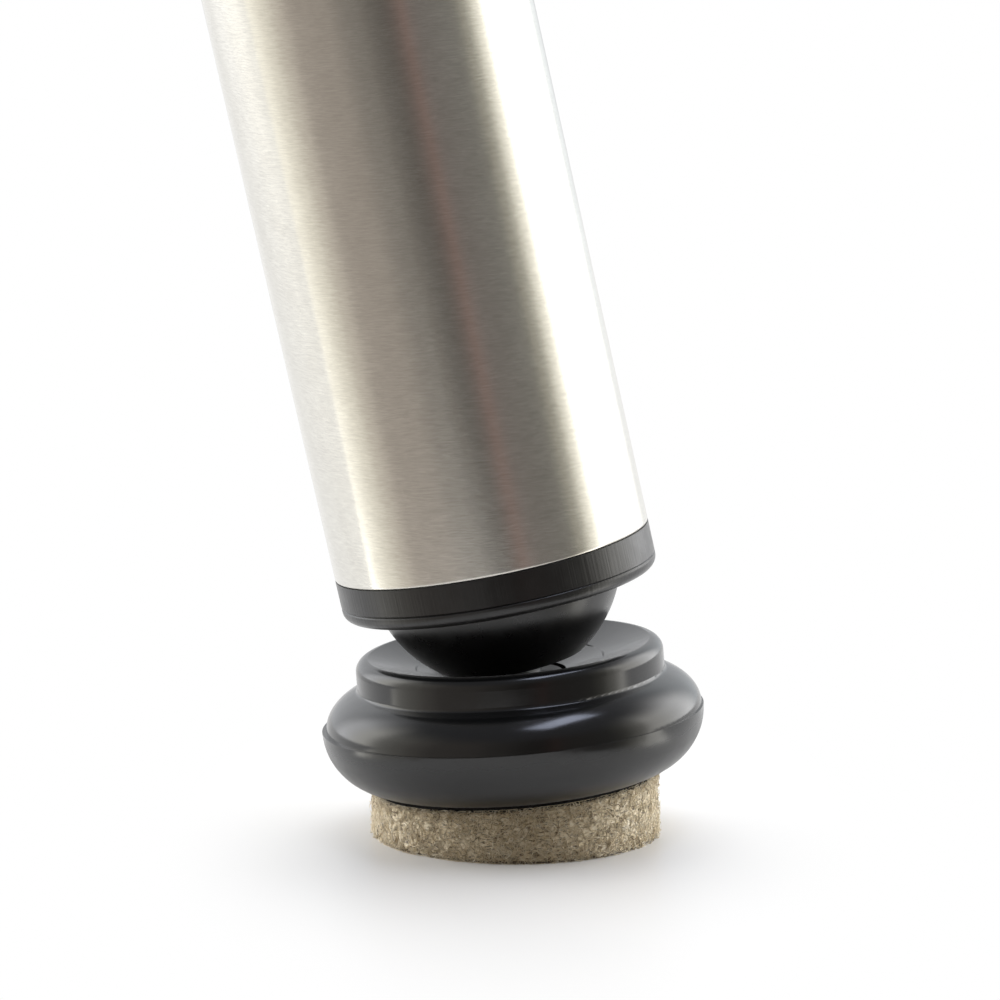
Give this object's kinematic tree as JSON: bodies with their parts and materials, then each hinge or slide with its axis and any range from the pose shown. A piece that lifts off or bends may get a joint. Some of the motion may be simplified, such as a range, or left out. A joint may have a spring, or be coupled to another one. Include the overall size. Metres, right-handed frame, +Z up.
{
  "type": "swivel felt glide in a round furniture leg end",
  "caption": "Round metal furniture leg end with a plastic insert and a swivelling stepped plastic foot on a thick felt pad, shown leaning.",
  "frame": {"origin": "centre of the felt's sole, on the floor", "axes": "+Z up, the leg and the foot lean towards -X"},
  "size_m": [0.0396, 0.0302, 0.0741],
  "materials": {
    "felt": "pressed wool felt, mottled beige and brown",
    "adhesive_foam": "black double-sided foam tape",
    "foot_plastic": "semi-gloss injection-moulded black",
    "stud_steel": "zinc-plated turned steel",
    "cup_plastic": "matt black acetal",
    "insert_plastic": "satin injection-moulded black",
    "brushed_tube": "brushed stainless, marks running round the tube"
  },
  "bodies": {
    "foot": {"swivel_foot": "foot_plastic", "adhesive_disc": "adhesive_foam", "felt_pad": "felt"},
    "stud": {"ball_stud": "stud_steel", "seat_washer": "cup_plastic", "rivet_washer": "stud_steel"},
    "cup": {"socket_cup": "cup_plastic"},
    "leg": {"tube_insert": "insert_plastic", "leg_tube": "brushed_tube"}
  },
  "joints": [
    {"name": "foot_turn", "type": "hinge", "parent": "foot", "child": "stud", "pos_m": [-0.00094, 0, 0.01832], "axis": [-0.0802, 0, 0.9968], "continuous": true},
    {"name": "ball_tilt", "type": "hinge", "parent": "stud", "child": "cup", "pos_m": [-0.00094, 0, 0.01832], "axis": [0, 1, 0], "range_deg": [0, 15.8]},
    {"name": "leg_turn", "type": "hinge", "parent": "cup", "child": "leg", "pos_m": [-0.00094, 0, 0.01832], "axis": [-0.2164, 0, 0.9763], "continuous": true}
  ]
}
